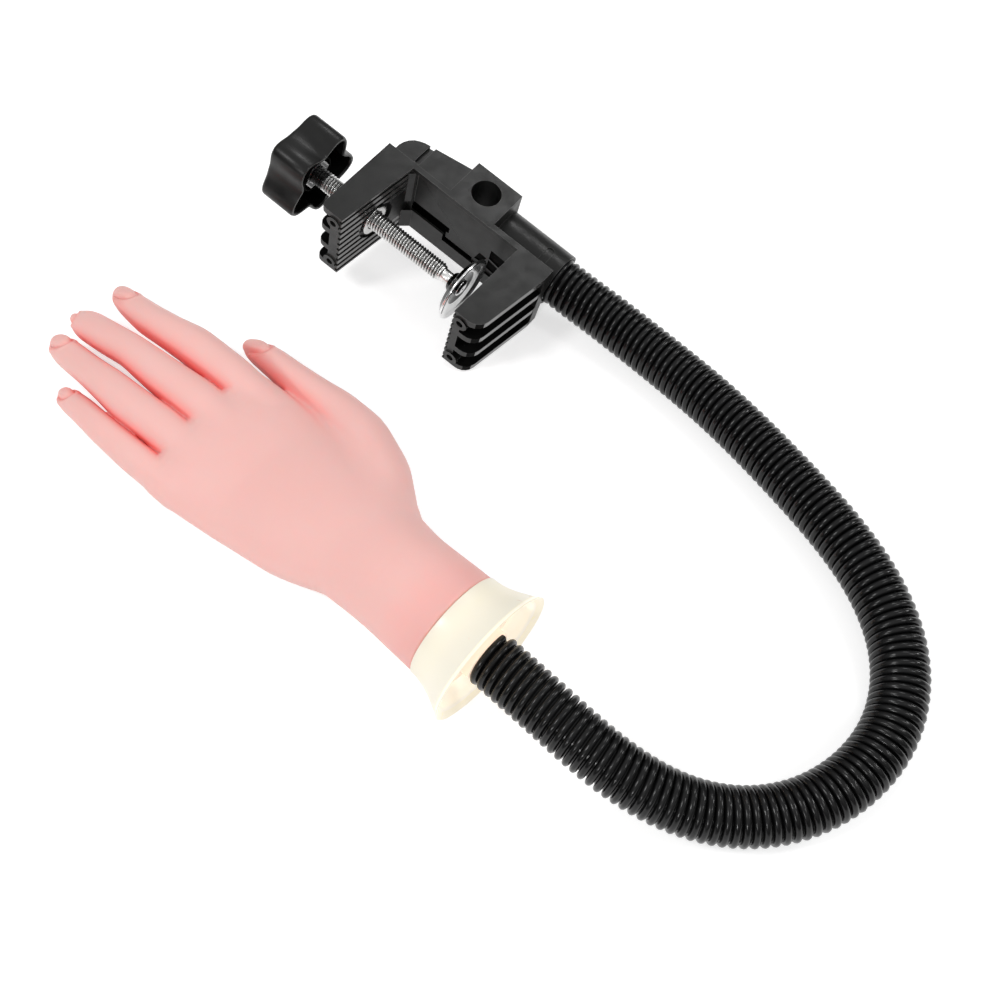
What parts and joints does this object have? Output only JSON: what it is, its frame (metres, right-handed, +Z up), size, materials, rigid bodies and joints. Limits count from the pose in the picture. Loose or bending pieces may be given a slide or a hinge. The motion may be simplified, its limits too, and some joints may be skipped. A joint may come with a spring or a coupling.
{
  "type": "nail practice hand",
  "caption": "Soft practice hand for nail work, on a bendable ribbed arm that ends in a screw clamp for a table edge.",
  "frame": {"origin": "middle of the bottom of the whole part's box, on the surface that it lies on", "axes": "+X from the fingertips towards the bend of the arm, +Y from the hand towards the clamp, +Z up out of the surface that the part lies on"},
  "size_m": [0.3502, 0.1834, 0.0581],
  "materials": {
    "clamp_black": "satin moulded nylon, fine texture",
    "zinc": "bright zinc plated steel",
    "chrome": "mirror chrome plated pressing",
    "arm_black": "glossy black ribbed vinyl",
    "core_steel": "plain drawn steel",
    "peach": "peach coloured moulded plastic",
    "cream": "cream translucent soft vinyl",
    "skin_pink": "soft pink silicone skin, satin"
  },
  "bodies": {
    "clamp": {"clamp_frame": "clamp_black", "thread_insert": "zinc", "hose_ferrule_clamp": "core_steel", "hose_01": "arm_black", "core_01": "core_steel"},
    "pad_carrier": {"pad_rivet": "chrome"},
    "spindle": {"clamp_screw": "zinc", "star_knob": "clamp_black", "knob_nut": "zinc"},
    "pad": {"swivel_pad": "chrome"},
    "arm_02": {"hose_02": "arm_black", "core_02": "core_steel"},
    "arm_03": {"hose_03": "arm_black", "core_03": "core_steel"},
    "arm_04": {"hose_04": "arm_black", "core_04": "core_steel"},
    "arm_05": {"hose_05": "arm_black", "core_05": "core_steel"},
    "arm_06": {"hose_06": "arm_black", "core_06": "core_steel"},
    "arm_07": {"hose_07": "arm_black", "core_07": "core_steel"},
    "arm_08": {"hose_08": "arm_black", "core_08": "core_steel"},
    "arm_09": {"hose_09": "arm_black", "core_09": "core_steel"},
    "arm_10": {"hose_10": "arm_black", "core_10": "core_steel", "hose_ferrule_hand": "core_steel"},
    "hand": {"wrist_plug": "peach", "wrist_collar": "cream", "hand_skin": "skin_pink"}
  },
  "joints": [
    {"name": "screw_travel", "type": "slide", "parent": "clamp", "child": "pad_carrier", "axis": [0.9763, 0, -0.2164], "range_m": [-0.035, 0.006]},
    {"name": "screw_spin", "type": "hinge", "parent": "pad_carrier", "child": "spindle", "pos_m": [-0.05334, 0.05065, 0.02277], "axis": [0.9763, 0, -0.2164], "range_deg": [-10081, 1729]},
    {"name": "pad_tilt", "type": "hinge", "parent": "pad_carrier", "child": "pad", "pos_m": [-0.05334, 0.05065, 0.02277], "axis": [0, 1, 0], "range_deg": [-3.5, 3.5]},
    {"name": "arm_bend_1", "type": "hinge", "parent": "clamp", "child": "arm_02", "pos_m": [0.00803, 0.07955, 0.01153], "axis": [0, 0, 1], "range_deg": [-1, 26]},
    {"name": "arm_bend_2", "type": "hinge", "parent": "arm_02", "child": "arm_03", "pos_m": [0.04605, 0.07429, 0.01], "axis": [0, 0, 1], "range_deg": [-1, 26]},
    {"name": "arm_bend_3", "type": "hinge", "parent": "arm_03", "child": "arm_04", "pos_m": [0.08324, 0.06456, 0.01], "axis": [0, 0, 1], "range_deg": [-1, 26]},
    {"name": "arm_bend_4", "type": "hinge", "parent": "arm_04", "child": "arm_05", "pos_m": [0.11942, 0.05159, 0.01], "axis": [0, 0, 1], "range_deg": [-1, 26]},
    {"name": "arm_bend_5", "type": "hinge", "parent": "arm_05", "child": "arm_06", "pos_m": [0.15084, 0.02988, 0.01], "axis": [0, 0, 1], "range_deg": [-1, 26]},
    {"name": "arm_bend_6", "type": "hinge", "parent": "arm_06", "child": "arm_07", "pos_m": [0.16551, -0.00486, 0.01], "axis": [-0.9988, -0.048, 0], "range_deg": [0, 25]},
    {"name": "arm_bend_7", "type": "hinge", "parent": "arm_07", "child": "arm_08", "pos_m": [0.15484, -0.04112, 0.01002], "axis": [0, 0, 1], "range_deg": [-1, 26]},
    {"name": "arm_bend_8", "type": "hinge", "parent": "arm_08", "child": "arm_09", "pos_m": [0.12477, -0.06373, 0.01361], "axis": [0, 0, 1], "range_deg": [-1, 26]},
    {"name": "arm_bend_9", "type": "hinge", "parent": "arm_09", "child": "arm_10", "pos_m": [0.08768, -0.06828, 0.02164], "axis": [0.0375, 0.9993, 0], "range_deg": [0, 25]},
    {"name": "hand_swivel", "type": "hinge", "parent": "arm_10", "child": "hand", "pos_m": [0.0496, -0.06559, 0.02612], "axis": [-0.9938, 0.0782, 0.0785], "range_deg": [-90, 90]}
  ],
  "couplings": [
    {"joint": "screw_spin", "follows": "screw_travel", "rad_per_m": 5026.5}
  ]
}
